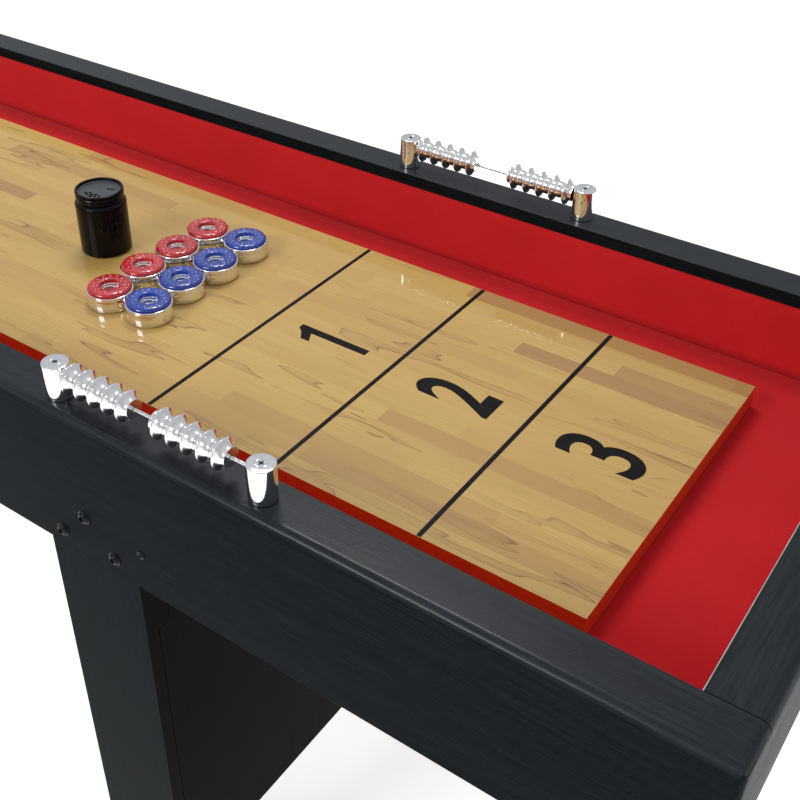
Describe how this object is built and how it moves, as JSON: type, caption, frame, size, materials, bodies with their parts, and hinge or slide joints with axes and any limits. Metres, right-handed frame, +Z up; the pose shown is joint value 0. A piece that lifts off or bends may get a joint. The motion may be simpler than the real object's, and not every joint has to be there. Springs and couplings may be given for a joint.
{
  "type": "shuffleboard table",
  "caption": "Long table with a raised strip-wood playfield, felt-lined gutters all round, black cabinet and panel legs, bead scorers on the rails, sliding pucks and a wax shaker.",
  "frame": {"origin": "on the floor, under the middle of the cabinet", "axes": "+X along the table's length towards the end with the scorers, +Y across its width, +Z up"},
  "size_m": [2.743, 0.6246, 0.84],
  "materials": {
    "black_laminate": "satin black wood-grain laminate",
    "dark_wood": "satin near-black laminate",
    "plain_wood": "raw board",
    "playfield_wood": "high-gloss strip wood",
    "red_felt": "short-pile felt",
    "chrome": "bright chrome",
    "steel": "polished rod and zinc-plated feet",
    "aluminium": "turned and polished",
    "puck_blue": "chromed disc with a blue cap",
    "puck_red": "chromed disc with a red cap",
    "black_plastic": "gloss black"
  },
  "bodies": {
    "table": {"side_rail_front": "black_laminate", "side_rail_back": "black_laminate", "end_rail_right": "black_laminate", "end_rail_left": "black_laminate", "cabinet_floor": "plain_wood", "gutter_carpet": "red_felt", "playfield": "playfield_wood", "side_pad_front": "red_felt", "side_pad_back": "red_felt", "end_pad_right": "red_felt", "end_pad_left": "red_felt", "leg_board_front_right": "black_laminate", "leg_board_back_right": "black_laminate", "leg_board_front_left": "black_laminate", "leg_board_back_left": "black_laminate", "leg_panel_right": "dark_wood", "leg_panel_left": "dark_wood", "leg_cleat_right": "plain_wood", "leg_cleat_left": "plain_wood", "floor_batten_middle": "plain_wood", "scorer_post_front_left": "chrome", "scorer_post_front_right": "chrome", "scorer_post_back_left": "chrome", "scorer_post_back_right": "chrome", "scorer_rod_front": "steel", "scorer_rod_back": "steel"},
    "leveler_front_right": {"leveler_front_right": "steel"},
    "leveler_back_right": {"leveler_back_right": "steel"},
    "leveler_front_left": {"leveler_front_left": "steel"},
    "leveler_back_left": {"leveler_back_left": "steel"},
    "bead_front_01": {"bead_front_01": "aluminium"},
    "bead_front_02": {"bead_front_02": "aluminium"},
    "bead_front_03": {"bead_front_03": "aluminium"},
    "bead_front_04": {"bead_front_04": "aluminium"},
    "bead_front_05": {"bead_front_05": "aluminium"},
    "bead_front_06": {"bead_front_06": "aluminium"},
    "bead_front_07": {"bead_front_07": "aluminium"},
    "bead_front_08": {"bead_front_08": "aluminium"},
    "bead_front_09": {"bead_front_09": "aluminium"},
    "bead_front_10": {"bead_front_10": "aluminium"},
    "bead_back_01": {"bead_back_01": "aluminium"},
    "bead_back_02": {"bead_back_02": "aluminium"},
    "bead_back_03": {"bead_back_03": "aluminium"},
    "bead_back_04": {"bead_back_04": "aluminium"},
    "bead_back_05": {"bead_back_05": "aluminium"},
    "bead_back_06": {"bead_back_06": "aluminium"},
    "bead_back_07": {"bead_back_07": "aluminium"},
    "bead_back_08": {"bead_back_08": "aluminium"},
    "bead_back_09": {"bead_back_09": "aluminium"},
    "bead_back_10": {"bead_back_10": "aluminium"},
    "puck_blue_1": {"puck_blue_1": "puck_blue"},
    "puck_blue_2": {"puck_blue_2": "puck_blue"},
    "puck_blue_3": {"puck_blue_3": "puck_blue"},
    "puck_blue_4": {"puck_blue_4": "puck_blue"},
    "puck_red_1": {"puck_red_1": "puck_red"},
    "puck_red_2": {"puck_red_2": "puck_red"},
    "puck_red_3": {"puck_red_3": "puck_red"},
    "puck_red_4": {"puck_red_4": "puck_red"},
    "wax_shaker_body": {"wax_shaker_body": "black_plastic"},
    "wax_shaker_lid": {"wax_shaker_lid": "black_plastic"}
  },
  "joints": [
    {"name": "bead_front_01_slide", "type": "slide", "parent": "table", "child": "bead_front_01", "axis": [1, 0, 0], "range_m": [0, 0.003]},
    {"name": "bead_front_02_slide", "type": "slide", "parent": "bead_front_01", "child": "bead_front_02", "axis": [1, 0, 0], "range_m": [0, 0.003]},
    {"name": "bead_front_03_slide", "type": "slide", "parent": "bead_front_02", "child": "bead_front_03", "axis": [1, 0, 0], "range_m": [0, 0.003]},
    {"name": "bead_front_04_slide", "type": "slide", "parent": "bead_front_03", "child": "bead_front_04", "axis": [1, 0, 0], "range_m": [0, 0.003]},
    {"name": "bead_front_05_slide", "type": "slide", "parent": "bead_front_04", "child": "bead_front_05", "axis": [1, 0, 0], "range_m": [0, 0.0125]},
    {"name": "bead_front_10_slide", "type": "slide", "parent": "table", "child": "bead_front_10", "axis": [1, 0, 0], "range_m": [-0.003, 0.0185]},
    {"name": "bead_front_09_slide", "type": "slide", "parent": "bead_front_10", "child": "bead_front_09", "axis": [1, 0, 0], "range_m": [-0.003, 0]},
    {"name": "bead_front_08_slide", "type": "slide", "parent": "bead_front_09", "child": "bead_front_08", "axis": [1, 0, 0], "range_m": [-0.003, 0]},
    {"name": "bead_front_07_slide", "type": "slide", "parent": "bead_front_08", "child": "bead_front_07", "axis": [1, 0, 0], "range_m": [-0.003, 0]},
    {"name": "bead_front_06_slide", "type": "slide", "parent": "bead_front_07", "child": "bead_front_06", "axis": [1, 0, 0], "range_m": [-0.0125, 0]},
    {"name": "bead_back_01_slide", "type": "slide", "parent": "table", "child": "bead_back_01", "axis": [1, 0, 0], "range_m": [0, 0.005]},
    {"name": "bead_back_02_slide", "type": "slide", "parent": "bead_back_01", "child": "bead_back_02", "axis": [1, 0, 0], "range_m": [0, 0.005]},
    {"name": "bead_back_03_slide", "type": "slide", "parent": "bead_back_02", "child": "bead_back_03", "axis": [1, 0, 0], "range_m": [0, 0.005]},
    {"name": "bead_back_04_slide", "type": "slide", "parent": "bead_back_03", "child": "bead_back_04", "axis": [1, 0, 0], "range_m": [0, 0.005]},
    {"name": "bead_back_05_slide", "type": "slide", "parent": "bead_back_04", "child": "bead_back_05", "axis": [1, 0, 0], "range_m": [0, 0.0225]},
    {"name": "bead_back_10_slide", "type": "slide", "parent": "table", "child": "bead_back_10", "axis": [1, 0, 0], "range_m": [-0.005, 0]},
    {"name": "bead_back_09_slide", "type": "slide", "parent": "bead_back_10", "child": "bead_back_09", "axis": [1, 0, 0], "range_m": [-0.005, 0]},
    {"name": "bead_back_08_slide", "type": "slide", "parent": "bead_back_09", "child": "bead_back_08", "axis": [1, 0, 0], "range_m": [-0.005, 0]},
    {"name": "bead_back_07_slide", "type": "slide", "parent": "bead_back_08", "child": "bead_back_07", "axis": [1, 0, 0], "range_m": [-0.005, 0]},
    {"name": "bead_back_06_slide", "type": "slide", "parent": "bead_back_07", "child": "bead_back_06", "axis": [1, 0, 0], "range_m": [-0.0225, 0]},
    {"name": "puck_blue_1_slide", "type": "slide", "parent": "table", "child": "puck_blue_1", "axis": [1, 0, 0], "range_m": [0, 0.555]},
    {"name": "puck_blue_2_slide", "type": "slide", "parent": "table", "child": "puck_blue_2", "axis": [1, 0, 0], "range_m": [0, 0.555]},
    {"name": "puck_blue_3_slide", "type": "slide", "parent": "table", "child": "puck_blue_3", "axis": [1, 0, 0], "range_m": [0, 0.555]},
    {"name": "puck_blue_4_slide", "type": "slide", "parent": "table", "child": "puck_blue_4", "axis": [1, 0, 0], "range_m": [0, 0.555]},
    {"name": "puck_red_1_slide", "type": "slide", "parent": "table", "child": "puck_red_1", "axis": [-1, 0, 0], "range_m": [0, 1.7]},
    {"name": "puck_red_2_slide", "type": "slide", "parent": "table", "child": "puck_red_2", "axis": [-1, 0, 0], "range_m": [0, 0.04]},
    {"name": "puck_red_3_slide", "type": "slide", "parent": "table", "child": "puck_red_3", "axis": [-1, 0, 0], "range_m": [0, 0.04]},
    {"name": "puck_red_4_slide", "type": "slide", "parent": "table", "child": "puck_red_4", "axis": [-1, 0, 0], "range_m": [0, 1.7]},
    {"name": "wax_shaker_lift", "type": "slide", "parent": "table", "child": "wax_shaker_body", "axis": [0, 0, 1], "range_m": [0, 0.15]},
    {"name": "wax_lid_turn", "type": "hinge", "parent": "wax_shaker_body", "child": "wax_shaker_lid", "pos_m": [0.4735, 0.0089, 0.79], "axis": [0, 0, 1], "range_deg": [0, 180]},
    {"name": "leveler_front_right_screw", "type": "slide", "parent": "table", "child": "leveler_front_right", "axis": [0, 0, -1], "range_m": [0, 0.02]},
    {"name": "leveler_back_right_screw", "type": "slide", "parent": "table", "child": "leveler_back_right", "axis": [0, 0, -1], "range_m": [0, 0.02]},
    {"name": "leveler_front_left_screw", "type": "slide", "parent": "table", "child": "leveler_front_left", "axis": [0, 0, -1], "range_m": [0, 0.02]},
    {"name": "leveler_back_left_screw", "type": "slide", "parent": "table", "child": "leveler_back_left", "axis": [0, 0, -1], "range_m": [0, 0.02]}
  ]
}
